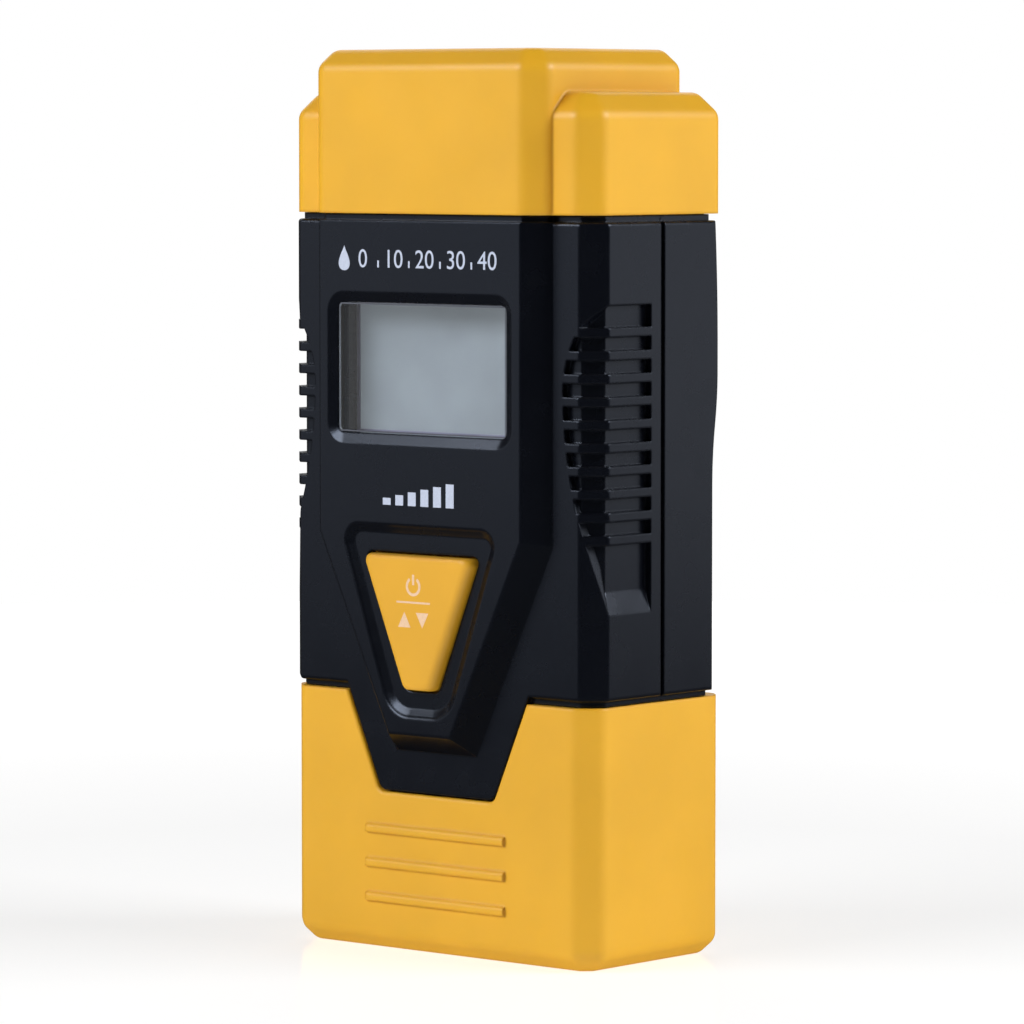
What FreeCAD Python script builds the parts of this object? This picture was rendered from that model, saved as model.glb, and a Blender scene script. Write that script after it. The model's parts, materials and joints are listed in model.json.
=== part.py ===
import FreeCAD, Part

import math
import os

from FreeCAD import Vector

# A pocket two-pin moisture meter that stands on its battery cover.
# Millimetres, +Z up, +X to the right of the display, the display faces -Y.
# Depths are measured back from the flat face of the raised front panel.

# ---- overall size ----
HEIGHT = 130.0
SHELL_DEPTH = 34.1
CAP_WIDTH = 58.3
COVER_WIDTH = 57.9
BODY_WIDTH = 59.1
KEY_PROUD = 0.8
FRONT = KEY_PROUD - (SHELL_DEPTH + KEY_PROUD) / 2

# ---- seams along the height ----
COVER_TOP = 37.5
BODY_BOTTOM = 38.4
BODY_TOP = 105.6
CAP_BOTTOM = 106.6
SHOULDER_TOP = 123.85
SEAM_GAP = 0.1
NECK_INSET = 0.9
SPIGOT_BOTTOM = 9.0
SPIGOT_TOP = 113.0

# ---- cross-section ----
EDGE_CUT = 3.0
BACK_CUT = 2.3
LEAST_CUT = 0.3
SHOULDER_DEPTH = 3.55
BODY_SHOULDER_DEPTH = 3.9
BODY_BACK = 33.5
PARTING_DEPTH = 19.2
GROOVE_WIDTH = 0.8
GROOVE_SINK = 0.7
OFFSET_SHRINK = 2 - math.sqrt(2)
SAME = 0.01
BLOCK_CUT = 2.4
SHOULDER_CUT = 3.0
COVER_CUT = 2.3
INNER_CUT = 1.9
YELLOW_FILLET = 2.2
NOTCH_FILLET = 0.4
BLACK_ROUND = 0.6
BLACK_FILLET = 0.5

# ---- back of the body: it swells for the hand, then steps in for the palm ----
CREST_Z = 85.0
CREST_DROP = 0.7
PALM_Z = 68.0
PALM_DROP = 1.2

# ---- walls and running gaps ----
CAP_WALL = 1.8
CAP_GAP = 0.25
BODY_WALL = 2.4
SPIGOT_WALL = 1.8
COVER_FLOOR = 2.2
COVER_RIBS = (6.9, 11.9, 16.9)
COVER_RIB_HALF = 13.2
COVER_RIB_HEIGHT = 1.9
COVER_RIB_LEAN = 0.2
COVER_RIB_FACE_TOP = 1.2
COVER_RIB_LOW_ROUND = 0.3
COVER_RIB_HIGH_ROUND = 0.4
COVER_RIB_PROUD = 0.5
SPIGOT_INSET = CAP_WALL + CAP_GAP
SPIGOT_BORE = SPIGOT_INSET + SPIGOT_WALL

# ---- raised panel and tongue, front view ----
BLOCK_HALF = 22.0
PANEL_HALF = 19.1
PANEL_KNEE = 60.65
PANEL_TIP = 32.15
PANEL_TIP_HALF = 5.84
PANEL_CUT = 2.75
TONGUE_TOP_HALF = 17.1
TONGUE_TIP_HALF = 10.9
TONGUE_TIP = 23.1
TONGUE_GAP = 0.3
TONGUE_ROUND = 1.5
PANEL_WALL = 2.4
PANEL_HOLLOW = 8.0
PANEL_HOLLOW_INSET = 0.3

# ---- display ----
GLASS_HALF = 16.0
GLASS_LOW = 75.1
GLASS_HIGH = 93.9
BEZEL_SLOPE = 1.5
BEZEL_DEPTH = 0.7
BEZEL_ROUND = 3.0
GLASS_ROUND = 1.0
FLANGE_ROUND = 1.6
LIP = 0.7
LENS_FLANGE = 1.8
LENS_THICK = 0.9
LENS_FIT = 0.1
LENS_SET_BACK = 0.05
GASKET_THICK = 0.7
GASKET_INSET = 0.2
GASKET_ROUND = 1.4
VIEW_MARGIN = 0.4
VIEW_ROUND = 0.8
LCD_DEPTH = 5.8
LCD_THICK = 2.8
LCD_HALF = 17.2
LCD_OVER = 2.2
LCD_FIT = 0.1
HOLDER_WALL = 1.2
HOLDER_ROUND = 0.8
ZEBRA_TALL = 2.0
ZEBRA_MARGIN = 0.3
ZEBRA_INSET = 1.0

# ---- key ----
KEY_TOP = 57.7
KEY_TOP_HALF = 9.1
KEY_TIP = 38.9
KEY_TIP_HALF = 1.5
KEY_SIDE = 1.35
KEY_END = 0.25
KEY_TOP_ROUND = 1.0
KEY_TIP_ROUND = 1.3
KEY_STEPS = 6
KEY_GAP = 0.3
KEY_FLANGE = 1.2
KEY_FLANGE_THICK = 1.0
KEY_FLANGE_GAP = 0.1
KEY_POST_RADIUS = 2.0
WELL_DEPTH = 0.85
WELL_TOP = 62.0
WELL_TOP_HALF = 15.0
WELL_LOW = 34.8
WELL_LOW_HALF = 5.5
WELL_SLOPE = 1.1
WELL_RIM = 0.35
WELL_TOP_ROUND = 2.4
WELL_LOW_ROUND = 4.6
SWITCH_Z = 50.0
SWITCH_HALF = 3.0
SWITCH_FACE = 6.5
SWITCH_LEG_X = 0.4
SWITCH_LEG_Z = 2.2
SWITCH_LEG_HALF = 0.5
SWITCH_LEG_THICK = 0.3
PLUNGER_RADIUS = 1.75
PLUNGER_FACE = 5.05
PLUNGER_SINK = 1.6
PLUNGER_BORE = 2.4
PLUNGER_GAP = 0.3

# ---- side grips ----
GRIP_DEPTH = 1.1
GRIP_BACK = 16.2
GRIP_TOP = 94.05
GRIP_UPPER_BOW = (1.5, 88.4)
GRIP_TURN = 82.0
GRIP_LOWER_BOW = (0.9, 72.0)
GRIP_FOOT = 63.3
GRIP_RAMP_TOP = 53.8
GRIP_BOTTOM = 50.6
RIB_COUNT = 10
RIB_PITCH = 3.24
RIB_HEIGHT = 1.3
RIB_TOP = 90.9

# ---- circuit board and battery ----
BOARD_FACE = 10.0
BOARD_THICK = 1.6
BOARD_BACK = BOARD_FACE + BOARD_THICK
BOARD_HALF = 19.2
BOARD_LOW = 11.4
BOARD_HIGH = 104.0
BOARD_ROUND = 1.0
CHIP_LIFT = 0.1
CHIP_LEG_REACH = 1.0
CHIP_LEG_HALF = 0.2
CHIP_LEG_THICK = 0.25
CRYSTAL_X = 11.0
CRYSTAL_HALF = 1.6
CRYSTAL_LOW = 70.5
CRYSTAL_HIGH = 78.0
CRYSTAL_TALL = 3.4
CRYSTAL_ROUND = 1.5
CELL_RADIUS = 10.0
CELL_THICK = 3.2
CELL_COUNT = 3
CELL_Z = 23.6
CELL_BACK = 28.6
HOLDER_RADIUS = 11.9
HOLDER_BORE = 10.3
HOLDER_RIM = CELL_BACK - 0.6
STACK_FRONT = CELL_BACK - CELL_COUNT * CELL_THICK
CELL_LID = 0.6
CELL_LID_INSET = 1.2
CELL_EDGE_CUT = 0.25
CELL_ACCESS = 0.7
HOLDER_FLOOR = STACK_FRONT - 1.4
HOLDER_FLOOR_THICK = 1.2
HOLDER_SLOT_HALF = 2.8
HOLDER_SLOT_START = STACK_FRONT - 2.0
STEM_HOLE_RADIUS = 1.5
STEM_RADIUS = 0.6
SPRING_BASE = 5.0
SPRING_TIP = 2.4
SPRING_WALL = 0.6
SPRING_FOOT = 0.3
STRIP_HALF = 2.2
STRIP_THICK = 0.4
STRIP_GAP = 0.4
STRIP_FOOT = 3.0
STRIP_TURN = 5.0

# ---- measuring pins ----
PIN_X = 15.0
PIN_DEPTH = 18.0
PIN_RADIUS = 0.8
PIN_TIP = 124.5
PIN_CONE = 3.0
PIN_POINT_RADIUS = 0.08
PIN_STUD_RADIUS = 1.3
PIN_STUD_LIFT = 0.4
BLOCK_LOW = 107.0
BLOCK_LEDGE = 1.0
BLOCK_FIT = 0.1
SOCKET_RADIUS = 2.5
SOCKET_LOW = 106.0
SOCKET_HIGH = 113.6
SOCKET_FIT = 0.02
COLLAR_RADIUS = 2.2
COLLAR_HIGH = 115.0
PIN_STRIP_HALF = 2.0
PIN_STRIP_LOW = 98.5

# ---- test contacts in the cap's top ----
RIVET_RECESS_RADIUS = 2.6
RIVET_RECESS = 0.8
RIVET_HEAD_RADIUS = 2.5
RIVET_HEAD_THICK = 0.5
RIVET_SHANK_RADIUS = 1.2
RIVET_TAIL_RADIUS = 2.0
RIVET_TAIL = 0.65
RESISTOR_HALF = 3.4
RESISTOR_RADIUS = 0.85
RESISTOR_DROP = 0.95
WIRE_RADIUS = 0.3

# ---- screws ----
SHANK_FIT = 0.05
SLOT_HALF = 0.35
CASE_SCREW_X = 22.6
CASE_SCREW_Z = (46.0, 96.5)
CASE_SCREW_RADIUS = 1.3
CASE_SCREW_PASS = 0.2
CASE_SCREW_TIP = 9.0
CASE_HOLE_END = 8.0
CASE_HEAD_RADIUS = 2.6
CASE_HEAD_SEAT = 27.4
CASE_HEAD_THICK = 1.9
CASE_HEAD_ROUND = 0.6
CASE_HEAD_GAP = 0.3
CASE_SLOT_REACH = 1.4
CASE_SLOT_SINK = 1.2
CASE_BOSS_RADIUS = 3.0
CASE_POST_RADIUS = 4.1
BOARD_SCREWS = ((-8.0, 100.9), (8.0, 100.9), (-14.0, 42.5), (14.0, 42.5))
BOARD_SCREW_RADIUS = 0.95
BOARD_SCREW_PASS = 0.15
BOARD_SCREW_TIP = 6.6
BOARD_HOLE_END = 6.0
BOARD_HEAD_RADIUS = 1.9
BOARD_HEAD_THICK = 1.2
BOARD_SLOT_REACH = 1.1
BOARD_SLOT_SINK = 0.7
BOARD_POST_RADIUS = 2.0
BOARD_POST_PANEL = 2.0
BOARD_POST_SHOULDER = 5.0

# ---- rear label ----
LABEL_HALF = 17.0
LABEL_LOW = 44.0
LABEL_HIGH = 64.0
LABEL_SINK = 0.3
LABEL_MARGIN = 0.3
LABEL_ROUND = 1.2
LABEL_THICK = 0.2
LABEL_FACE = BODY_BACK - PALM_DROP - LABEL_SINK

FAR = 60.0


# ---------------------------------------------------------------- helpers
def at(x, depth, z):
    return Vector(x, FRONT + depth, z)


def in_plan(z):
    return lambda across, depth: at(across, depth, z)


def in_front(depth):
    return lambda across, up: at(across, depth, up)


def in_side(x):
    return lambda depth, up: at(x, depth, up)


def corner_arc(before, corner, after, radius):
    """Start, middle and end of the arc that rounds a corner, as 2-D vectors."""
    to_before = (before - corner).normalize()
    to_after = (after - corner).normalize()
    half = to_before.getAngle(to_after) / 2
    inward = (to_before + to_after).normalize()
    centre = corner + inward * (radius / math.sin(half))
    reach = radius / math.tan(half)
    return corner + to_before * reach, centre - inward * radius, corner + to_after * reach


def outline(corners, radii, place):
    """A closed wire through the corners, each rounded to its radius (0 leaves it sharp)."""
    points = [Vector(u, v, 0) for u, v in corners]
    count = len(points)
    if not hasattr(radii, "__len__"):
        radii = [radii] * count
    spans = []
    for i, (point, radius) in enumerate(zip(points, radii)):
        if radius:
            spans.append(corner_arc(points[i - 1], point, points[(i + 1) % count], radius))
        else:
            spans.append((point,))
    edges = []
    for i, span in enumerate(spans):
        if len(span) == 3:
            edges.append(Part.Arc(*[place(p.x, p.y) for p in span]).toShape())
        start, end = span[-1], spans[(i + 1) % count][0]
        edges.append(Part.LineSegment(place(start.x, start.y), place(end.x, end.y)).toShape())
    return Part.Wire(edges)


def plan_prism(corners, radii, low, high):
    return Part.Face(outline(corners, radii, in_plan(low))).extrude(Vector(0, 0, high - low))


def front_prism(corners, radii, near, far):
    return Part.Face(outline(corners, radii, in_front(near))).extrude(Vector(0, far - near, 0))


def front_loft(near_outline, near_radii, near, far_outline, far_radii, far):
    wires = [
        outline(near_outline, near_radii, in_front(near)),
        outline(far_outline, far_radii, in_front(far)),
    ]
    return Part.makeLoft(wires, True, True)


def box(left, right, near, far, low, high):
    return Part.makeBox(right - left, far - near, high - low, at(left, near, low))


def rod_back(x, z, radius, near, far):
    return Part.makeCylinder(radius, far - near, at(x, near, z), Vector(0, 1, 0))


def rod_up(x, depth, radius, low, high):
    return Part.makeCylinder(radius, high - low, at(x, depth, low))


def rod_across(left, right, depth, z, radius):
    return Part.makeCylinder(radius, right - left, at(left, depth, z), Vector(1, 0, 0))


def mirrored(shape):
    return shape.mirror(Vector(0, 0, 0), Vector(1, 0, 0))


def both_sides(shape):
    return [shape, mirrored(shape)]


def fused(shapes):
    return shapes[0].multiFuse(shapes[1:]).removeSplitter()


def rectangle(half, low, high):
    return [(-half, low), (half, low), (half, high), (-half, high)]


def symmetric(right_side):
    """A closed outline from its right half, listed from the top down."""
    return right_side + [(-x, z) for x, z in reversed(right_side)]


def widened(right_side, grow):
    """A downward-tapering outline's right half, moved outward by grow on every side but the top edge."""
    shapes = [Vector(x, z, 0) for x, z in right_side]
    sides = [(b - a).normalize() for a, b in zip(shapes, shapes[1:])]
    sides.append(Vector(-1, 0, 0))
    normals = [Vector(-s.y, s.x, 0) for s in sides]
    moved = [(shapes[0].x + grow / normals[0].x, shapes[0].y)]
    for before, after, point in zip(normals, normals[1:], shapes[1:]):
        scale = grow / (1 + before.dot(after))
        moved.append((point.x + (before.x + after.x) * scale, point.y + (before.y + after.y) * scale))
    return moved


def edges_at_height(shape, z):
    """Edges that lie flat at one height."""
    return [e for e in shape.Edges if abs(e.BoundBox.ZMin - z) < SAME and abs(e.BoundBox.ZMax - z) < SAME]


def edges_at_depth(shape, depth):
    """Edges that lie flat at one depth."""
    y = FRONT + depth
    return [e for e in shape.Edges if abs(e.BoundBox.YMin - y) < SAME and abs(e.BoundBox.YMax - y) < SAME]


# ---------------------------------------------------------------- sections
def slab_corners(half, front, back, inset=0.0):
    """Plan outline of a slab with cut corners, moved inward by inset."""
    front_cut = max(EDGE_CUT - OFFSET_SHRINK * inset, LEAST_CUT)
    back_cut = max(BACK_CUT - OFFSET_SHRINK * inset, LEAST_CUT)
    side, near, far = half - inset, front + inset, back - inset
    return [
        (-side + front_cut, near),
        (side - front_cut, near),
        (side, near + front_cut),
        (side, far - back_cut),
        (side - back_cut, far),
        (-side + back_cut, far),
        (-side, far - back_cut),
        (-side, near + front_cut),
    ]


def body_slab(inset, low, high, radii=0.0, back=BODY_BACK):
    return plan_prism(slab_corners(BODY_WIDTH / 2, BODY_SHOULDER_DEPTH, back, inset), radii, low, high)


def cap_slab(inset, low, high):
    return plan_prism(slab_corners(CAP_WIDTH / 2, SHOULDER_DEPTH, SHELL_DEPTH, inset), 0.0, low, high)


def cover_slab(inset, low, high):
    return plan_prism(slab_corners(COVER_WIDTH / 2, SHOULDER_DEPTH, SHELL_DEPTH, inset), 0.0, low, high)


def cap_block(inset, low, high):
    return plan_prism(slab_corners(BLOCK_HALF, 0.0, SHELL_DEPTH, inset), 0.0, low, high)


def stepped(inset, low, high):
    """The cap's stepped section, slab and centre block together."""
    return fused([cap_slab(inset, low, high), cap_block(inset, low, high)])


def cut_end(prism, end, cut):
    """Bevels the edges round one end of a prism."""
    return prism.makeChamfer(cut, edges_at_height(prism, end))


def softened(prism, closed_end, open_end, cut):
    """A yellow moulding's outside: bevelled at its closed end, with every edge but the open rim rounded."""
    shape = cut_end(prism, closed_end, cut)
    rim = edges_at_height(shape, open_end)
    inner = [e for e in shape.Edges if not any(e.isSame(r) for r in rim)]
    return shape.makeFillet(YELLOW_FILLET, inner)


# ---------------------------------------------------------------- outlines on the front
def panel_right(grow):
    """Right half of the raised panel, from the top edge down."""
    half = [(PANEL_HALF, BODY_TOP), (PANEL_HALF, PANEL_KNEE), (PANEL_TIP_HALF, PANEL_TIP)]
    return widened(half, grow)


def tapered(top_half, top, low_half, low, side, end):
    """A downward-tapering outline; its sides move outward by side, and its ends by end."""
    lean = (top_half - low_half) / (top - low)
    out = side * math.hypot(1, lean)
    return symmetric([(top_half + out + lean * end, top + end), (low_half + out - lean * end, low - end)])


def key_wire(side, end, depth):
    corners = tapered(KEY_TOP_HALF, KEY_TOP, KEY_TIP_HALF, KEY_TIP, side, end)
    return outline(corners, [KEY_TOP_ROUND, KEY_TIP_ROUND, KEY_TIP_ROUND, KEY_TOP_ROUND], in_front(depth))


def key_prism(side, end, near, far):
    return Part.Face(key_wire(side, end, near)).extrude(Vector(0, far - near, 0))


def well_wire(grow, depth):
    corners = tapered(WELL_TOP_HALF, WELL_TOP, WELL_LOW_HALF, WELL_LOW, grow, grow)
    top, low = WELL_TOP_ROUND + grow, WELL_LOW_ROUND + grow
    return outline(corners, [top, low, low, top], in_front(depth))


def tongue_outline(grow):
    lean = (TONGUE_TOP_HALF - TONGUE_TIP_HALF) / (COVER_TOP - TONGUE_TIP)
    top = COVER_TOP + 2 * EDGE_CUT
    top_half = TONGUE_TOP_HALF + lean * (top - COVER_TOP)
    return symmetric(widened([(top_half, top), (TONGUE_TIP_HALF, TONGUE_TIP)], grow))


def glass_outline(grow):
    return rectangle(GLASS_HALF + grow, GLASS_LOW - grow, GLASS_HIGH + grow)


# ---------------------------------------------------------------- body
def raised_panel():
    face, foot = symmetric(panel_right(0.0)), symmetric(panel_right(PANEL_CUT))
    plate = front_loft(face, 0.0, 0.0, foot, 0.0, BODY_SHOULDER_DEPTH)
    rim = [e for e in edges_at_depth(plate, 0.0) if e.BoundBox.ZMin < BODY_TOP - SAME]
    plate = plate.makeFillet(BLACK_FILLET, rim)
    root = front_prism(foot, 0.0, BODY_SHOULDER_DEPTH, BODY_SHOULDER_DEPTH + BODY_WALL)
    return plate.fuse(root)


def grip_cut():
    """The right-hand grip hollow, less its cross ribs."""
    half = BODY_WIDTH / 2
    edge_depth = BODY_SHOULDER_DEPTH + EDGE_CUT
    start, lowest = half - EDGE_CUT, half - 2 * EDGE_CUT
    upper, lower = [at(lowest + bulge, 0, z) for bulge, z in (GRIP_UPPER_BOW, GRIP_LOWER_BOW)]
    edges = [
        Part.LineSegment(at(FAR, 0, GRIP_TOP), at(half, 0, GRIP_TOP)),
        Part.Arc(at(half, 0, GRIP_TOP), upper, at(lowest, 0, GRIP_TURN)),
        Part.Arc(at(lowest, 0, GRIP_TURN), lower, at(start, 0, GRIP_FOOT)),
        Part.LineSegment(at(start, 0, GRIP_FOOT), at(half, 0, GRIP_BOTTOM)),
        Part.LineSegment(at(half, 0, GRIP_BOTTOM), at(FAR, 0, GRIP_BOTTOM)),
        Part.LineSegment(at(FAR, 0, GRIP_BOTTOM), at(FAR, 0, GRIP_TOP)),
    ]
    front_part = Part.Face(Part.Wire([e.toShape() for e in edges])).extrude(Vector(0, edge_depth, 0))
    side_part = box(0, FAR, edge_depth, GRIP_BACK, GRIP_BOTTOM, GRIP_TOP)
    floor = half - GRIP_DEPTH
    below = GRIP_BOTTOM - 1
    ramp = [(floor, GRIP_RAMP_TOP), (floor, below), (half + 1, below), (half, GRIP_BOTTOM)]
    ramp = front_prism(ramp, 0.0, edge_depth, PARTING_DEPTH)
    ribs = [
        box(0, FAR, 0, PARTING_DEPTH, RIB_TOP - i * RIB_PITCH - RIB_HEIGHT, RIB_TOP - i * RIB_PITCH)
        for i in range(RIB_COUNT)
    ]
    return fused([front_part, side_part]).cut([body_slab(GRIP_DEPTH, 0, HEIGHT), ramp] + ribs)


def bow(radius, reach):
    """How far a circle falls away from its tangent, a given reach along it."""
    return radius - math.sqrt(radius ** 2 - reach ** 2)


def back_cutter(x, crest, sweep):
    """All that lies behind the body's back: a slow swell, an S-curve, and a flat for the palm."""
    place = in_side(x)
    rise = BODY_TOP + 1 - CREST_Z
    step = (CREST_Z - PALM_Z) / 2
    swell_radius = (rise ** 2 + CREST_DROP ** 2) / (2 * CREST_DROP)
    turn_radius = (step ** 2 + (PALM_DROP / 2) ** 2) / PALM_DROP
    fall = bow(turn_radius, step / 2)
    palm = crest - PALM_DROP
    top = place(crest - CREST_DROP, BODY_TOP + 1)
    summit = place(crest, CREST_Z)
    turn = place(crest - PALM_DROP / 2, CREST_Z - step)
    heel = place(palm, PALM_Z)
    rest = [heel, place(palm, 0), place(crest + FAR, 0), place(crest + FAR, BODY_TOP + 1), top]
    edges = [
        Part.Arc(top, place(crest - bow(swell_radius, rise / 2), CREST_Z + rise / 2), summit),
        Part.Arc(summit, place(crest - fall, CREST_Z - step / 2), turn),
        Part.Arc(turn, place(palm + fall, PALM_Z + step / 2), heel),
    ]
    edges += [Part.LineSegment(a, b) for a, b in zip(rest, rest[1:])]
    return Part.Face(Part.Wire([e.toShape() for e in edges])).extrude(sweep)


def back_relief():
    """The back's shape, cut across its flat and round both of its bevelled corners."""
    corner, reach = BODY_WIDTH / 2 - BACK_CUT, 10
    bevel = back_cutter(corner - reach, BODY_BACK + reach, Vector(3 * reach, -3 * reach, 0))
    return [back_cutter(-FAR, BODY_BACK, Vector(2 * FAR, 0, 0))] + both_sides(bevel)


def parting_groove():
    """The shadow line where the two halves of the case meet."""
    ring = body_slab(-1.0, BODY_BOTTOM - 1, BODY_TOP + 1).cut(body_slab(GROOVE_SINK, 0, HEIGHT))
    return ring.common(box(-FAR, FAR, PARTING_DEPTH - GROOVE_WIDTH, PARTING_DEPTH, 0, HEIGHT))


def tongue():
    """The panel's lower point, which fills the notch in the battery cover."""
    radii = [0.0, TONGUE_ROUND, TONGUE_ROUND, 0.0]
    root = SHOULDER_DEPTH + SPIGOT_INSET + 1
    return front_prism(tongue_outline(-TONGUE_GAP), radii, BODY_SHOULDER_DEPTH, root)


def body_outside():
    slab = body_slab(0.0, BODY_BOTTOM, BODY_TOP, BLACK_ROUND)
    ends = [e for z in (BODY_BOTTOM, BODY_TOP) for e in edges_at_height(slab, z)]
    slab = slab.makeFillet(BLACK_FILLET, ends)
    slab = slab.cut([parting_groove()] + back_relief() + both_sides(grip_cut()))
    neck_low, neck_high = COVER_TOP + SEAM_GAP, CAP_BOTTOM - SEAM_GAP
    return fused([
        slab,
        raised_panel(),
        tongue(),
        body_slab(NECK_INSET, neck_low, BODY_BOTTOM + 1, 0.0, BODY_BACK - PALM_DROP),
        body_slab(NECK_INSET, BODY_TOP - 1, neck_high, 0.0, BODY_BACK - CREST_DROP),
        cap_block(NECK_INSET, BODY_TOP - 1, neck_high),
        cover_slab(SPIGOT_INSET, SPIGOT_BOTTOM, BODY_BOTTOM + 1),
        stepped(SPIGOT_INSET, BODY_TOP - 1, SPIGOT_TOP),
    ])


def body_inside():
    ceiling = BODY_TOP - BODY_WALL
    floor = BODY_BOTTOM + BODY_WALL
    behind = symmetric([(x, min(z, ceiling)) for x, z in panel_right(-PANEL_HOLLOW_INSET)])
    return fused([
        body_slab(BODY_WALL, floor, ceiling),
        cover_slab(SPIGOT_BORE, SPIGOT_BOTTOM + SPIGOT_WALL, floor + 1),
        front_prism(behind, 0.0, PANEL_WALL, PANEL_HOLLOW),
        stepped(SPIGOT_BORE + BLOCK_LEDGE, ceiling - 1, BLOCK_LOW),
        stepped(SPIGOT_BORE, BLOCK_LOW, SPIGOT_TOP + 1),
    ])


def body_shell():
    return body_outside().cut(body_inside())


def case_screw_places():
    return [(side * CASE_SCREW_X, z) for side in (-1, 1) for z in CASE_SCREW_Z]


def bezel_cut():
    """The window's hole, its sloping bezel, and the seat behind it for the window's flange."""
    slope = glass_outline(BEZEL_SLOPE)
    return [
        front_prism(slope, BEZEL_ROUND, -1.0, 0.0),
        front_loft(slope, BEZEL_ROUND, 0.0, glass_outline(0.0), GLASS_ROUND, BEZEL_DEPTH),
        front_prism(glass_outline(0.0), GLASS_ROUND, BEZEL_DEPTH, PANEL_WALL + 1),
        front_prism(glass_outline(LENS_FLANGE), FLANGE_ROUND, BEZEL_DEPTH + LIP, PANEL_WALL + 1),
    ]


def well_cut():
    """The hollow round the key: a soft rim, a sloping wall, a flat floor, and the key's own hole."""
    mouth = Part.Face(well_wire(WELL_RIM, -1.0)).extrude(Vector(0, 1, 0))
    steps = [(WELL_RIM, 0.0), (WELL_RIM / 3, WELL_RIM / 4), (-WELL_RIM / 3, WELL_RIM * 0.8)]
    steps += [(-WELL_SLOPE, WELL_DEPTH)]
    hollow = Part.makeLoft([well_wire(grow, depth) for grow, depth in steps], True, True)
    hole = key_prism(KEY_SIDE + KEY_GAP, KEY_END + KEY_GAP, 0.0, PANEL_WALL + 1)
    return [mouth, hollow, hole]


def front_shell(shell):
    half = shell.common(box(-FAR, FAR, -FAR, PARTING_DEPTH, 0, HEIGHT))
    inner = BODY_SHOULDER_DEPTH + BODY_WALL - 1
    added = [rod_back(x, z, CASE_BOSS_RADIUS, inner, PARTING_DEPTH) for x, z in case_screw_places()]
    for x, z in BOARD_SCREWS:
        root = BOARD_POST_PANEL if z > PANEL_KNEE else BOARD_POST_SHOULDER
        added.append(rod_back(x, z, BOARD_POST_RADIUS, root, BOARD_FACE))
    cuts = bezel_cut() + well_cut()
    case_hole, board_hole = CASE_SCREW_RADIUS + SHANK_FIT, BOARD_SCREW_RADIUS + SHANK_FIT
    cuts += [rod_back(x, z, case_hole, CASE_HOLE_END, PARTING_DEPTH) for x, z in case_screw_places()]
    cuts += [rod_back(x, z, board_hole, BOARD_HOLE_END, BOARD_FACE) for x, z in BOARD_SCREWS]
    return fused([half] + added).cut(cuts)


def rear_shell(shell):
    half = shell.common(box(-FAR, FAR, PARTING_DEPTH, FAR, 0, HEIGHT))
    inner_back = BODY_BACK - BODY_WALL
    hole, recess = CASE_SCREW_RADIUS + CASE_SCREW_PASS, CASE_HEAD_RADIUS + CASE_HEAD_GAP
    posts = [rod_back(x, z, CASE_POST_RADIUS, PARTING_DEPTH, inner_back) for x, z in case_screw_places()]
    cuts = [rod_back(x, z, hole, 0.0, FAR) for x, z in case_screw_places()]
    cuts += [rod_back(x, z, recess, CASE_HEAD_SEAT, FAR) for x, z in case_screw_places()]
    cuts.append(rod_back(0, CELL_Z, HOLDER_BORE + CELL_ACCESS, BOARD_BACK, FAR))
    cuts.append(front_prism(label_outline(LABEL_MARGIN), LABEL_ROUND + LABEL_MARGIN, LABEL_FACE, FAR))
    return fused([half] + posts).cut(cuts)


def label_outline(grow):
    return rectangle(LABEL_HALF + grow, LABEL_LOW - grow, LABEL_HIGH + grow)


def rear_label():
    return front_prism(label_outline(0.0), LABEL_ROUND, LABEL_FACE, LABEL_FACE + LABEL_THICK)


# ---------------------------------------------------------------- cap
def test_places():
    return [-PIN_X, PIN_X]


def pin_cap():
    top_wall = HEIGHT - CAP_WALL
    shoulder_wall = SHOULDER_TOP - CAP_WALL
    slab = softened(cap_slab(0.0, CAP_BOTTOM, SHOULDER_TOP), SHOULDER_TOP, CAP_BOTTOM, SHOULDER_CUT)
    block = softened(cap_block(0.0, CAP_BOTTOM, HEIGHT), HEIGHT, CAP_BOTTOM, BLOCK_CUT)
    cuts = [
        cut_end(cap_slab(CAP_WALL, CAP_BOTTOM - 1, shoulder_wall), shoulder_wall, INNER_CUT),
        cut_end(cap_block(CAP_WALL, CAP_BOTTOM - 1, top_wall), top_wall, INNER_CUT),
    ]
    for x in test_places():
        cuts.append(rod_up(x, PIN_DEPTH, RIVET_RECESS_RADIUS, HEIGHT - RIVET_RECESS, HEIGHT + 1))
        cuts.append(rod_up(x, PIN_DEPTH, RIVET_SHANK_RADIUS + SHANK_FIT, top_wall - 1, HEIGHT))
    return fused([slab, block]).cut(cuts)


def test_contacts():
    """Two rivets in the cap's top, where the pins are touched to test the meter."""
    top_wall = HEIGHT - CAP_WALL
    seat = HEIGHT - RIVET_RECESS
    rivets = []
    for x in test_places():
        head = rod_up(x, PIN_DEPTH, RIVET_HEAD_RADIUS, seat, seat + RIVET_HEAD_THICK)
        shank = rod_up(x, PIN_DEPTH, RIVET_SHANK_RADIUS, top_wall - RIVET_TAIL, seat)
        tail = rod_up(x, PIN_DEPTH, RIVET_TAIL_RADIUS, top_wall - RIVET_TAIL, top_wall)
        rivets.append(fused([head, shank, tail]))
    return Part.makeCompound(rivets)


def test_resistor():
    z = HEIGHT - CAP_WALL - RESISTOR_DROP
    return fused([
        rod_across(-RESISTOR_HALF, RESISTOR_HALF, PIN_DEPTH, z, RESISTOR_RADIUS),
        rod_across(-PIN_X, PIN_X, PIN_DEPTH, z, WIRE_RADIUS),
    ])


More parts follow.
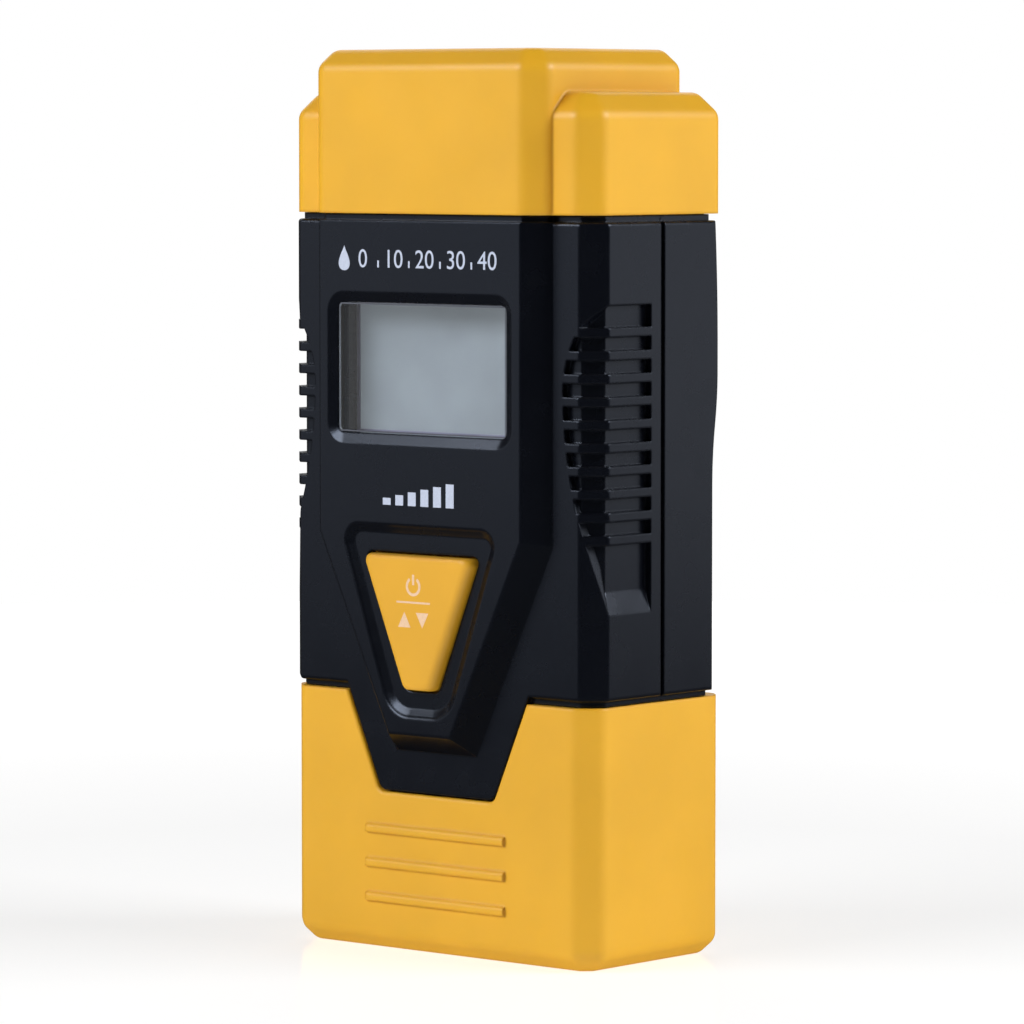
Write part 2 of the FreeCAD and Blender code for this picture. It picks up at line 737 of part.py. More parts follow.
# ---------------------------------------------------------------- battery cover
def cover_rib(z):
    """One cross rib on the front: a sharp lower edge, a flat face and a sloping top."""
    near, root = SHOULDER_DEPTH - COVER_RIB_PROUD, SHOULDER_DEPTH + COVER_RIB_PROUD
    face = [(near, z + COVER_RIB_LEAN), (near, z + COVER_RIB_FACE_TOP)]
    profile = [(root, z)] + face + [(root, z + COVER_RIB_HEIGHT)]
    radii = [0.0, COVER_RIB_LOW_ROUND, COVER_RIB_HIGH_ROUND, 0.0]
    wire = outline(profile, radii, in_side(-COVER_RIB_HALF))
    return Part.Face(wire).extrude(Vector(2 * COVER_RIB_HALF, 0, 0))


def battery_cover():
    outer = softened(cover_slab(0.0, 0.0, COVER_TOP), 0.0, COVER_TOP, COVER_CUT)
    outer = fused([outer] + [cover_rib(z) for z in COVER_RIBS])
    radii = [0.0, TONGUE_ROUND, TONGUE_ROUND, 0.0]
    notch = front_prism(tongue_outline(0.0), radii, -1.0, SHOULDER_DEPTH + SPIGOT_INSET)
    inside = cut_end(cover_slab(CAP_WALL, COVER_FLOOR, COVER_TOP + 1), COVER_FLOOR, INNER_CUT)
    shape = outer.cut([notch, inside])
    rim = edges_at_depth(shape, SHOULDER_DEPTH)
    rim = [e for e in rim if TONGUE_TIP - SAME < e.BoundBox.ZMin < COVER_TOP - SAME]
    return shape.makeFillet(NOTCH_FILLET, rim)


# ---------------------------------------------------------------- key and switch
def key_top():
    """The part in sight: its long sides roll over in an arc, and its ends stand almost upright."""
    sections = []
    for step in range(KEY_STEPS + 1):
        turn = math.radians(90 * step / KEY_STEPS)
        across, back = math.sin(turn), 1 - math.cos(turn)
        sections.append(key_wire(KEY_SIDE * across, KEY_END * across, KEY_SIDE * back - KEY_PROUD))
    return Part.makeLoft(sections, True, True)


def power_key():
    foot = KEY_SIDE - KEY_PROUD
    back = PANEL_WALL + KEY_FLANGE_GAP
    return fused([
        key_top(),
        key_prism(KEY_SIDE, KEY_END, foot, back),
        key_prism(KEY_SIDE + KEY_FLANGE, KEY_END + KEY_FLANGE, back, back + KEY_FLANGE_THICK),
        rod_back(0, SWITCH_Z, KEY_POST_RADIUS, back, PLUNGER_FACE),
    ])


def switch_body():
    low, high = SWITCH_Z - SWITCH_HALF, SWITCH_Z + SWITCH_HALF
    case = box(-SWITCH_HALF, SWITCH_HALF, SWITCH_FACE, BOARD_FACE, low, high)
    foot = BOARD_FACE - SWITCH_LEG_THICK
    legs = []
    for x in (-SWITCH_HALF - SWITCH_LEG_X, SWITCH_HALF + SWITCH_LEG_X):
        for z in (SWITCH_Z - SWITCH_LEG_Z, SWITCH_Z + SWITCH_LEG_Z):
            left, right = x - SWITCH_LEG_X, x + SWITCH_LEG_X
            legs.append(box(left, right, foot, BOARD_FACE, z - SWITCH_LEG_HALF, z + SWITCH_LEG_HALF))
    bore = rod_back(0, SWITCH_Z, PLUNGER_RADIUS + PLUNGER_GAP, 0, SWITCH_FACE + PLUNGER_BORE)
    return fused([case] + legs).cut(bore)


def switch_plunger():
    return rod_back(0, SWITCH_Z, PLUNGER_RADIUS, PLUNGER_FACE, SWITCH_FACE + PLUNGER_SINK)


# ---------------------------------------------------------------- display
def display_window():
    seat = BEZEL_DEPTH + LIP
    wide, narrow = glass_outline(LENS_FLANGE - LENS_FIT), glass_outline(-LENS_FIT)
    flange = front_prism(wide, FLANGE_ROUND - LENS_FIT, seat, seat + LENS_THICK)
    raised = front_prism(narrow, GLASS_ROUND - LENS_FIT, BEZEL_DEPTH + LENS_SET_BACK, seat)
    return fused([flange, raised])


def window_gasket():
    near = BEZEL_DEPTH + LIP + LENS_THICK
    ring = front_prism(glass_outline(LENS_FLANGE - GASKET_INSET), GASKET_ROUND, near, near + GASKET_THICK)
    return ring.cut(front_prism(glass_outline(VIEW_MARGIN), VIEW_ROUND, near - 1, near + 2))


def lcd_outline(grow):
    return rectangle(LCD_HALF + grow, GLASS_LOW - LCD_OVER - grow, GLASS_HIGH + LCD_OVER + grow)


def lcd_holder():
    near = BEZEL_DEPTH + LIP + LENS_THICK + GASKET_THICK
    frame = front_prism(lcd_outline(HOLDER_WALL), HOLDER_ROUND, near, BOARD_FACE)
    well = front_prism(glass_outline(VIEW_MARGIN), VIEW_ROUND, near - 1, LCD_DEPTH)
    pocket = front_prism(lcd_outline(LCD_FIT), 0.0, LCD_DEPTH, BOARD_FACE + 1)
    return frame.cut([well, pocket])


def lcd_panel():
    return front_prism(lcd_outline(0.0), 0.0, LCD_DEPTH, LCD_DEPTH + LCD_THICK)


def zebra_connectors():
    half, near = LCD_HALF - ZEBRA_INSET, LCD_DEPTH + LCD_THICK
    low = GLASS_LOW - LCD_OVER + ZEBRA_MARGIN
    high = GLASS_HIGH + LCD_OVER - ZEBRA_MARGIN - ZEBRA_TALL
    return Part.makeCompound([box(-half, half, near, BOARD_FACE, z, z + ZEBRA_TALL) for z in (low, high)])


# ---------------------------------------------------------------- electronics
def circuit_board():
    plate = front_prism(rectangle(BOARD_HALF, BOARD_LOW, BOARD_HIGH), BOARD_ROUND, BOARD_FACE, BOARD_BACK)
    hole = BOARD_SCREW_RADIUS + BOARD_SCREW_PASS
    return plate.cut([rod_back(x, z, hole, 0, FAR) for x, z in BOARD_SCREWS])


def flat_pack(z, half_x, half_z, tall, legs, pitch):
    """A chip in the middle of the board, with legs along its two long sides."""
    case = box(-half_x, half_x, BOARD_BACK + CHIP_LIFT, BOARD_BACK + tall, z - half_z, z + half_z)
    reach, sole = half_x + CHIP_LEG_REACH, BOARD_BACK + CHIP_LEG_THICK
    rows = [z + pitch * (i - (legs - 1) / 2) for i in range(legs)]
    bars = [box(-reach, reach, BOARD_BACK, sole, row - CHIP_LEG_HALF, row + CHIP_LEG_HALF) for row in rows]
    return fused([case] + bars)


def microcontroller():
    return flat_pack(z=82.0, half_x=4.0, half_z=6.5, tall=1.5, legs=14, pitch=0.9)


def signal_amplifier():
    return flat_pack(z=66.0, half_x=2.0, half_z=2.6, tall=1.4, legs=4, pitch=1.27)


def crystal_can():
    plan = rectangle(CRYSTAL_HALF, CRYSTAL_LOW, CRYSTAL_HIGH)
    can = front_prism(plan, CRYSTAL_ROUND, BOARD_BACK, BOARD_BACK + CRYSTAL_TALL)
    return can.translate(Vector(CRYSTAL_X, 0, 0))


def chip_grid(columns, rows, half_x, half_z, tall):
    chip = box(-half_x, half_x, BOARD_BACK, BOARD_BACK + tall, -half_z, half_z)
    return Part.makeCompound([chip.translated(Vector(x, 0, z)) for x in columns for z in rows])


def chip_resistors():
    columns, rows = (-14.0, -11.0, -8.0), (60.0, 63.0, 72.0, 88.0, 91.0)
    return chip_grid(columns, rows, half_x=0.8, half_z=0.45, tall=0.5)


def chip_capacitors():
    columns, rows = (8.0, 11.5), (60.0, 65.0, 84.0, 89.0)
    return chip_grid(columns, rows, half_x=1.0, half_z=0.65, tall=1.1)


def battery_holder():
    """A ring that stands on the board, with a floor part-way and a slot at its top."""
    ring = rod_back(0, CELL_Z, HOLDER_RADIUS, BOARD_BACK, HOLDER_RIM)
    cuts = [
        rod_back(0, CELL_Z, HOLDER_BORE, HOLDER_FLOOR, FAR),
        rod_back(0, CELL_Z, HOLDER_BORE, 0, HOLDER_FLOOR - HOLDER_FLOOR_THICK),
        rod_back(0, CELL_Z, STEM_HOLE_RADIUS, 0, FAR),
        box(-HOLDER_SLOT_HALF, HOLDER_SLOT_HALF, HOLDER_SLOT_START, FAR, CELL_Z, CELL_Z + FAR),
    ]
    return ring.cut(cuts)


def button_cells():
    """Each cell is a can with a narrower lid towards the board."""
    stack = []
    for i in range(CELL_COUNT):
        near = STACK_FRONT + i * CELL_THICK
        far = near + CELL_THICK
        can = rod_back(0, CELL_Z, CELL_RADIUS, near + CELL_LID, far)
        can = can.makeChamfer(CELL_EDGE_CUT, edges_at_depth(can, far))
        lid = rod_back(0, CELL_Z, CELL_RADIUS - CELL_LID_INSET, near, near + CELL_LID)
        stack.append(fused([can, lid]))
    return Part.makeCompound(stack)


def negative_contact():
    """The spring as a hollow cone, on a stem that goes through the holder's floor."""
    rise, sole = STACK_FRONT - HOLDER_FLOOR, HOLDER_FLOOR + SPRING_FOOT
    base, back = at(0, HOLDER_FLOOR, CELL_Z), Vector(0, 1, 0)
    spring = Part.makeCone(SPRING_BASE, SPRING_TIP, rise, base, back)
    hollow = Part.makeCone(SPRING_BASE - SPRING_WALL, SPRING_TIP - SPRING_WALL, rise, base, back)
    foot = rod_back(0, CELL_Z, SPRING_BASE, HOLDER_FLOOR, sole)
    stem = rod_back(0, CELL_Z, STEM_RADIUS, BOARD_BACK, sole)
    return fused([spring.cut(hollow), foot, stem])


def positive_contact():
    """A strip that climbs beside the cells and turns over the outer one."""
    low = CELL_Z + HOLDER_RADIUS + STRIP_GAP
    high, back = low + STRIP_THICK, CELL_BACK + STRIP_THICK
    return fused([
        box(-STRIP_HALF, STRIP_HALF, BOARD_BACK, back, low, high),
        box(-STRIP_HALF, STRIP_HALF, CELL_BACK, back, CELL_Z + STRIP_TURN, low),
        box(-STRIP_HALF, STRIP_HALF, BOARD_BACK, BOARD_BACK + STRIP_THICK, low, low + STRIP_FOOT),
    ])


# ---------------------------------------------------------------- measuring pins
def pin_block():
    block = stepped(SPIGOT_BORE + BLOCK_FIT, BLOCK_LOW, SPIGOT_TOP)
    return block.cut([rod_up(x, PIN_DEPTH, SOCKET_RADIUS + SOCKET_FIT, 0, HEIGHT) for x in test_places()])


def pin_sockets():
    sockets = []
    for x in test_places():
        barrel = rod_up(x, PIN_DEPTH, SOCKET_RADIUS, SOCKET_LOW, SOCKET_HIGH)
        sockets.append(barrel.cut(rod_up(x, PIN_DEPTH, PIN_STUD_RADIUS + SHANK_FIT, BLOCK_LOW, HEIGHT)))
    return Part.makeCompound(sockets)


def hexagon(x, depth, radius):
    angles = [math.radians(60 * i) for i in range(6)]
    return [(x + radius * math.cos(a), depth + radius * math.sin(a)) for a in angles]


def measuring_pin(x):
    """A needle on a hexagonal collar, with a stud that fills its socket."""
    taper = PIN_TIP - PIN_CONE
    return fused([
        rod_up(x, PIN_DEPTH, PIN_STUD_RADIUS, BLOCK_LOW + PIN_STUD_LIFT, SOCKET_HIGH),
        plan_prism(hexagon(x, PIN_DEPTH, COLLAR_RADIUS), 0.0, SOCKET_HIGH, COLLAR_HIGH),
        rod_up(x, PIN_DEPTH, PIN_RADIUS, COLLAR_HIGH, taper),
        Part.makeCone(PIN_RADIUS, PIN_POINT_RADIUS, PIN_CONE, at(x, PIN_DEPTH, taper)),
    ])


def pin_strips():
    strips = []
    for x in test_places():
        left, right, back = x - PIN_STRIP_HALF, x + PIN_STRIP_HALF, PIN_DEPTH + PIN_STRIP_HALF
        shelf = box(left, right, BOARD_BACK, back, SOCKET_LOW - STRIP_THICK, SOCKET_LOW)
        leg = box(left, right, BOARD_BACK, BOARD_BACK + STRIP_THICK, PIN_STRIP_LOW, SOCKET_LOW)
        strips.append(fused([shelf, leg]))
    return Part.makeCompound(strips)


# ---------------------------------------------------------------- screws
def cross_slot(x, z, reach, near, far):
    return [
        box(x - reach, x + reach, near, far, z - SLOT_HALF, z + SLOT_HALF),
        box(x - SLOT_HALF, x + SLOT_HALF, near, far, z - reach, z + reach),
    ]


def case_screws():
    screws = []
    crown = CASE_HEAD_SEAT + CASE_HEAD_THICK
    for x, z in case_screw_places():
        head = rod_back(x, z, CASE_HEAD_RADIUS, CASE_HEAD_SEAT, crown)
        head = head.makeFillet(CASE_HEAD_ROUND, edges_at_depth(head, crown))
        shank = rod_back(x, z, CASE_SCREW_RADIUS, CASE_SCREW_TIP, CASE_HEAD_SEAT)
        slot = cross_slot(x, z, CASE_SLOT_REACH, crown - CASE_SLOT_SINK, crown + 1)
        screws.append(fused([head, shank]).cut(slot))
    return Part.makeCompound(screws)


def board_screws():
    screws = []
    crown = BOARD_BACK + BOARD_HEAD_THICK
    for x, z in BOARD_SCREWS:
        head = rod_back(x, z, BOARD_HEAD_RADIUS, BOARD_BACK, crown)
        shank = rod_back(x, z, BOARD_SCREW_RADIUS, BOARD_SCREW_TIP, BOARD_BACK)
        slot = cross_slot(x, z, BOARD_SLOT_REACH, crown - BOARD_SLOT_SINK, crown + 1)
        screws.append(fused([head, shank]).cut(slot))
    return Part.makeCompound(screws)


# ---------------------------------------------------------------- output
def build():
    shell = body_shell()
    return {
        "front_shell": front_shell(shell),
        "rear_shell": rear_shell(shell),
        "rear_label": rear_label(),
        "display_window": display_window(),
        "window_gasket": window_gasket(),
        "lcd_holder": lcd_holder(),
        "lcd_panel": lcd_panel(),
        "zebra_connectors": zebra_connectors(),
        "circuit_board": circuit_board(),
        "microcontroller": microcontroller(),
        "signal_amplifier": signal_amplifier(),
        "crystal_can": crystal_can(),
        "chip_resistors": chip_resistors(),
        "chip_capacitors": chip_capacitors(),
        "battery_holder": battery_holder(),
        "button_cells": button_cells(),
        "negative_contact": negative_contact(),
        "positive_contact": positive_contact(),
        "pin_block": pin_block(),
        "pin_sockets": pin_sockets(),
        "measuring_pin_left": measuring_pin(-PIN_X),
        "measuring_pin_right": measuring_pin(PIN_X),
        "pin_strips": pin_strips(),
        "case_screws": case_screws(),
        "board_screws": board_screws(),
        "switch_body": switch_body(),
        "switch_plunger": switch_plunger(),
        "power_key": power_key(),
        "pin_cap": pin_cap(),
        "test_contacts": test_contacts(),
        "test_resistor": test_resistor(),
        "battery_cover": battery_cover(),
    }


os.makedirs("parts", exist_ok=True)
for node, shape in build().items():
    shape.exportStep(f"parts/{node}.step")
    print(node, len(shape.Solids), round(shape.Volume, 1), shape.isValid())
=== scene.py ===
import json
import math

import bmesh
import bpy
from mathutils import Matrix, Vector


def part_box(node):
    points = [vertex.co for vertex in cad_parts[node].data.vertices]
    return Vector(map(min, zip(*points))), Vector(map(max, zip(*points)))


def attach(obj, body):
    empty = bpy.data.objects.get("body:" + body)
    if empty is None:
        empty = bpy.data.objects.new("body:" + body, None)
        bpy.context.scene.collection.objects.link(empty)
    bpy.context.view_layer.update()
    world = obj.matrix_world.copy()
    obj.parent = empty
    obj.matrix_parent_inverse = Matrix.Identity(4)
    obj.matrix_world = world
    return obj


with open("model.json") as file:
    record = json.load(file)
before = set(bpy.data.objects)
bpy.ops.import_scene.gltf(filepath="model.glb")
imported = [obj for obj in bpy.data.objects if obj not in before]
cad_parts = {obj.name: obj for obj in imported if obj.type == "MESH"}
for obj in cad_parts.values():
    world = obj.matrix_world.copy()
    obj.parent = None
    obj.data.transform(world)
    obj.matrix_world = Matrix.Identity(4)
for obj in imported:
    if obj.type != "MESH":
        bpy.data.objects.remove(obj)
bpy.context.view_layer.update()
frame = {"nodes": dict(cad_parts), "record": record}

# ---- camera: a long lens, turned to the meter's right ----
VIEW_AZIMUTH = 40.9
VIEW_ELEVATION = 3.8
VIEW_DISTANCE = 0.818
LENS_MM = 198.7
AIM_RIGHT = 0.00187
AIM_DOWN = 0.00168
SIGHT_DEPTH = 0.01755
SIGHT_HEIGHT = 0.065

# ---- colours, linear ----
YELLOW = (0.80, 0.42, 0.020)
# painted shade: the darker orange that the case yellow's rounded corners are mixed toward
YELLOW_EDGE_SHADE = (0.74, 0.27, 0.006)
KEY_YELLOW = (0.78, 0.40, 0.020)
# painted shade: the darker orange that the key's rounded corners are mixed toward
KEY_EDGE_SHADE = (0.70, 0.20, 0.004)
BLACK = (0.0022, 0.0027, 0.0050)
BLACK_EDGE = (0.012, 0.0125, 0.015)
BLACK_SHEEN = (0.66, 0.77, 1.0)
BLACK_INNER = (0.012, 0.0125, 0.014)
INNER_EDGE = (0.032, 0.032, 0.034)
INK_WHITE = (0.55, 0.61, 0.76)
INK_CREAM = (0.88, 0.60, 0.38)
LCD_GREY = (0.168, 0.192, 0.210)
# the display's glow: painted light that evens out the shade under its bezel
LCD_GLOW = 0.6
# painted highlights: the colours of the light lines round the display and along the window's edge
LCD_EDGE_HIGHLIGHT = (0.26, 0.25, 0.36)
WINDOW_EDGE_HIGHLIGHT = (0.10, 0.11, 0.14)
LABEL_INK = (0.05, 0.05, 0.055)
FLOOR_WHITE = (0.50, 0.50, 0.50)
FLOOR_UNSEEN = (0.10, 0.10, 0.10)
WHITE = (1.0, 1.0, 1.0)
WINDOW_TINT = (0.93, 0.95, 0.97)
WINDOW_SHADOW = (0.88, 0.90, 0.93)
LABEL_DARK = (0.40, 0.41, 0.42)
LABEL_LIGHT = (0.52, 0.53, 0.54)
RESIST_DARK = (0.008, 0.085, 0.03)
RESIST_LIGHT = (0.010, 0.10, 0.036)

# ---- rubber parts: colour ----
RUBBERS = {
    "black_rubber": (0.02, 0.02, 0.021),
    "zebra_rubber": (0.30, 0.30, 0.31),
}

# ---- metal parts: colour, roughness, stretch of the brushed lines ----
METALS = {
    "bright_metal": ((0.72, 0.71, 0.68), 0.28, (1.0, 1.0, 0.1)),
    "cell_steel": ((0.75, 0.75, 0.74), 0.24, (0.1, 1.0, 1.0)),
    "screw_steel": ((0.46, 0.46, 0.47), 0.34, (1.0, 0.2, 1.0)),
    "pin_steel": ((0.78, 0.78, 0.77), 0.16, (1.0, 1.0, 0.08)),
    "socket_brass": ((0.80, 0.58, 0.24), 0.26, (1.0, 1.0, 0.2)),
}

# ---- speckled parts: dark colour, light colour, roughness ----
SPECKLED = {
    "chip_resin": ((0.012, 0.012, 0.013), (0.022, 0.022, 0.023), 0.55),
    "chip_ceramic": ((0.03, 0.03, 0.035), (0.06, 0.06, 0.07), 0.4),
    "capacitor_ceramic": ((0.36, 0.25, 0.15), (0.50, 0.36, 0.22), 0.45),
    "resistor_body": ((0.40, 0.54, 0.64), (0.50, 0.64, 0.74), 0.35),
}

# ---- surface texture: sizes in metres, and the parts of a noise's range that are used ----
MOTTLE_SIZE = 0.018
MOTTLE_DARK = 0.95
MOTTLE_LIGHT = 1.03
SMUDGE_SIZE = 0.006
UNEVEN_GLOSS = 0.035
# corner mask: its least strength, and the share of edge colour it mixes in (painted shade on the yellow
# plastics)
EDGE_MASK_LEAST = 0.15
EDGE_COLOUR_SHARE = 0.6
WORN_POLISH = -0.06
BRUSH_SIZE = 0.0004
BRUSH_DEPTH = 0.000006
METAL_ROUNDING = 0.0001
TARNISH_SIZE = 0.003
TARNISH_DARK = 0.78
CLOUD_SIZE = 0.012
CLOUD_DARK = 0.90
CLOUD_LIGHT = 1.08
FIBRE_SIZE = 0.0005
INK_GRAIN = 0.0002
INK_THIN = 0.88
SHEET_CLOUD = 0.004
RUBBER_CELL = 0.0004
RUBBER_DEPTH = 0.00004
SHADE_DEEP = 0.6
LABEL_BRUSH = 0.0006
WEAVE_PER_METRE = 1400.0
SPECKLE_SIZE = 0.0005
WIDE_BAND = (0.3, 0.7)
SOFT_BAND = (0.35, 0.65)
SMUDGE_BAND = (0.42, 0.62)
TARNISH_BAND = (0.4, 0.7)
FACE_TO_CORNER = (0.99, 0.85)
BEVEL_SAMPLES = 6

# ---- printing, metres ----
INK = 0.00002
KEY_INK = 0.00001
SCALE_Z = 0.1002
SCALE_NUMBERS = (0, 10, 20, 30, 40)
SCALE_LEFT = -0.0106
SCALE_PITCH = 0.0059
NUMERAL_HEIGHT = 0.0026
CAPITAL_SHARE = 0.70
DROP_SWELL = 0.86
DROP_TAPER = 1.6
TICK_WIDTH = 0.00032
TICK_LOW = -0.0013
TICK_HIGH = -0.0003
DROP_X = -0.0142
DROP_HEIGHT = 0.0036
LEVEL_COUNT = 6
LEVEL_Z = 0.0650
LEVEL_LEFT = -0.0068
LEVEL_PITCH = 0.0024
LEVEL_WIDTH = 0.0015
LEVEL_FIRST = 0.0010
LEVEL_RISE = 0.00048
KEY_MARK_X = -0.0003
KEY_LINE_Z = 0.0513
KEY_LINE_HALF = 0.0032
KEY_LINE_WIDTH = 0.00028
POWER_Z = KEY_LINE_Z + 0.0023
POWER_RADIUS = 0.0014
POWER_STROKE = 0.00042
POWER_GAP = 32.0
POWER_STEM = (0.0002, 0.0017)
ARROW_Z = KEY_LINE_Z - 0.0025
ARROW_APART = 0.0017
ARROW_HALF = 0.0012
ARROW_HALF_HEIGHT = 0.0011
LABEL_MARGIN = 0.0012
LABEL_BORDER = 0.00025
LABEL_DROP_X = 0.0062
LABEL_DROP_HEIGHT = 0.0072
LABEL_LINES = 4
LABEL_LINE_LEFT = 0.0115
LABEL_LINE_RIGHT = 0.0035
LABEL_LINE_LOW = 0.0045
LABEL_LINE_PITCH = 0.0036
LABEL_LINE_WIDTH = 0.0002
PLUS_Z = -0.0031
PLUS_HALF = 0.0018
PLUS_STROKE = 0.0003
CELL_RING = 0.0078
CELL_RING_WIDTH = 0.00018

# ---- edges of the clear sheets and their painted highlight lines, metres ----
GLASS_HALF = 0.0160
GLASS_LOW = 0.0751
GLASS_HIGH = 0.0939
WINDOW_INSET = 0.00014
WINDOW_LINE = 0.00022
WINDOW_PROUD = 0.00001
LCD_REACH = 0.00022
LCD_LINE = 0.0005
LCD_PROUD = 0.00018

# ---- softboxes: azimuth, elevation, distance, width, height, radiance ----
SOFTBOXES = {
    "high_front": (-24.0, 31.0, 1.0, 0.70, 0.34, 10.2),
    "high_side": (116.0, 31.0, 1.0, 0.70, 0.34, 11.4),
    "low_front": (-46.0, 4.0, 1.5, 1.1, 0.7, 0.52),
    "low_side": (139.0, 4.0, 1.5, 1.2, 0.7, 0.66),
    "back_left": (225.0, 30.0, 1.6, 1.2, 0.9, 1.6),
}
ROOM_LIGHT = 0.02
FLOOR_RADIUS = 0.6
FLOOR_ROUGHNESS = 0.16
FLOOR_SHEEN = 0.12
FLOOR_GRAIN = 0.01
FLOOR_DARK = 0.99
FLOOR_GLOW = 0.66
FLOOR_GLOW_FROM = 0.25
FLOOR_GLOW_TO = 0.9


# ---------------------------------------------------------------- frame helpers
def direction(azimuth, elevation):
    """Unit vector from the meter towards a compass direction; azimuth 0 is in front of the display."""
    a, e = math.radians(azimuth), math.radians(elevation)
    return Vector((math.sin(a) * math.cos(e), -math.cos(a) * math.cos(e), math.sin(e)))


PANEL_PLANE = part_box("front_shell")[0][1]
CENTRE = Vector((0.0, PANEL_PLANE + SIGHT_DEPTH, SIGHT_HEIGHT))


# ---------------------------------------------------------------- node helpers
class Shader:
    """A material's node tree with short calls for the nodes used here."""

    def __init__(self, name):
        self.material = bpy.data.materials.new(name)
        self.material.use_nodes = True
        self.tree = self.material.node_tree
        self.bsdf = next(n for n in self.tree.nodes if n.type == "BSDF_PRINCIPLED")
        self.output = next(n for n in self.tree.nodes if n.type == "OUTPUT_MATERIAL")
        self.place = self.node("ShaderNodeTexCoord").outputs["Object"]

    def node(self, kind, **settings):
        """A new node with its settings."""
        made = self.tree.nodes.new(kind)
        for key, value in settings.items():
            setattr(made, key, value)
        return made

    def link(self, source, target):
        self.tree.links.new(source, target)

    def put(self, value, socket):
        """Links another node's output to a socket, or sets a plain value; a colour is an RGB triple."""
        if hasattr(value, "is_linked"):
            self.link(value, socket)
        elif socket.type == "RGBA":
            socket.default_value = (*value, 1.0)
        else:
            socket.default_value = value

    def feed(self, node, **values):
        """Puts each value in the node's input of that name, where _ stands for a space."""
        for key, value in values.items():
            self.put(value, node.inputs[key.replace("_", " ")])
        return node

    def surface(self, **values):
        """Sets inputs of the material's own shader."""
        self.feed(self.bsdf, **values)

    def except_for(self, ray, kind, colour):
        """Shows one kind of ray a plain shader instead of the material's own."""
        plain = self.feed(self.node(kind), Color=colour)
        choose = self.node("ShaderNodeMixShader")
        self.link(self.node("ShaderNodeLightPath").outputs[ray], choose.inputs["Fac"])
        self.link(self.bsdf.outputs["BSDF"], choose.inputs[1])
        self.link(plain.outputs["BSDF"], choose.inputs[2])
        self.link(choose.outputs["Shader"], self.output.inputs["Surface"])

    def noise(self, size, detail=3.0, stretch=(1.0, 1.0, 1.0)):
        """Noise whose features are about size metres across."""
        spread = self.feed(self.node("ShaderNodeMapping"), Vector=self.place, Scale=stretch)
        made = self.node("ShaderNodeTexNoise")
        self.feed(made, Vector=spread.outputs["Vector"], Scale=1.0 / size, Detail=detail)
        return made.outputs["Fac"]

    def ramp(self, value, band, start=0.0, end=1.0):
        """Maps value from the band's two ends to start and end, clamped."""
        made = self.node("ShaderNodeMapRange")
        self.feed(made, Value=value, From_Min=band[0], From_Max=band[1], To_Min=start, To_Max=end)
        return made.outputs["Result"]

    def math(self, operation, first, second):
        """One sum or product of two values, each a socket or a number."""
        made = self.node("ShaderNodeMath", operation=operation)
        for socket, value in zip(made.inputs, (first, second)):
            self.put(value, socket)
        return made.outputs["Value"]

    def mix(self, factor, first, second):
        """Mixes two colours, each a socket or an RGB triple."""
        made = self.node("ShaderNodeMix", data_type="RGBA")
        sockets = [made.inputs["Factor"]] + [s for s in made.inputs if s.type == "RGBA"]
        for socket, value in zip(sockets, (factor, first, second)):
            self.put(value, socket)
        return next(s for s in made.outputs if s.type == "RGBA")

    def edges(self, width):
        """A mask that is 1 on corners sharper than the given width in metres, and 0 on faces."""
        across = self.node("ShaderNodeVectorMath", operation="DOT_PRODUCT")
        self.link(self.rounded(width), across.inputs[0])
        self.link(self.node("ShaderNodeNewGeometry").outputs["Normal"], across.inputs[1])
        return self.ramp(across.outputs["Value"], FACE_TO_CORNER)

    def bump(self, height, depth, under=None):
        """A normal that follows a height; under is a normal to start from."""
        made = self.feed(self.node("ShaderNodeBump"), Height=height, Distance=depth, Strength=1.0)
        if under is not None:
            self.link(under, made.inputs["Normal"])
        return made.outputs["Normal"]

    def rounded(self, width):
        """A normal that rounds corners over the given width."""
        soft = self.feed(self.node("ShaderNodeBevel", samples=BEVEL_SAMPLES), Radius=width)
        return soft.outputs["Normal"]


# ---------------------------------------------------------------- materials
def shade(colour, share):
    """The colour with each channel scaled."""
    return tuple(share * c for c in colour)


def moulded(name, colour, edge_colour, roughness, grain, grain_depth, rounding):
    """Moulded plastic: fine spark texture, a slight flow mottle, and corners that are mixed toward an edge
    colour, which on the yellow plastics is painted shade, and made a little glossier where rubbed.
    """
    s = Shader(name)
    mottle = s.noise(MOTTLE_SIZE, 4.0)
    smudge = s.noise(SMUDGE_SIZE, 5.0)
    fine = s.noise(grain, 2.0)
    # corner mask, in patches: mixes in the edge colour (painted shade on the yellow plastics, a lighter grey
    # on the black ones) and adds gloss (wear)
    edge_shade_and_wear = s.math("MULTIPLY", s.edges(rounding), s.ramp(smudge, SMUDGE_BAND, EDGE_MASK_LEAST))
    base = s.mix(s.ramp(mottle, SOFT_BAND), shade(colour, MOTTLE_DARK), shade(colour, MOTTLE_LIGHT))
    uneven = s.ramp(smudge, WIDE_BAND, roughness - UNEVEN_GLOSS, roughness + UNEVEN_GLOSS)
    s.surface(
        Base_Color=s.mix(s.math("MULTIPLY", edge_shade_and_wear, EDGE_COLOUR_SHARE), base, edge_colour),
        Roughness=s.math("ADD", uneven, s.math("MULTIPLY", edge_shade_and_wear, WORN_POLISH)),
        Normal=s.bump(fine, grain_depth, s.rounded(rounding)),
    )
    return s


def yellow_plastic():
    """The cap's and the cover's plastic, which lets a little light in."""
    s = moulded("yellow_case", YELLOW, YELLOW_EDGE_SHADE,
                roughness=0.40, grain=0.00022, grain_depth=0.000012, rounding=0.0007)
    s.surface(Subsurface_Weight=0.06, Subsurface_Radius=(0.0012, 0.0006, 0.0002), Subsurface_Scale=1.0)
    return s.material


def key_plastic():
    """The power key's plastic, slightly deeper than the case's yellow."""
    s = moulded("yellow_key", KEY_YELLOW, KEY_EDGE_SHADE,
                roughness=0.42, grain=0.0002, grain_depth=0.00001, rounding=0.0009)
    return s.material


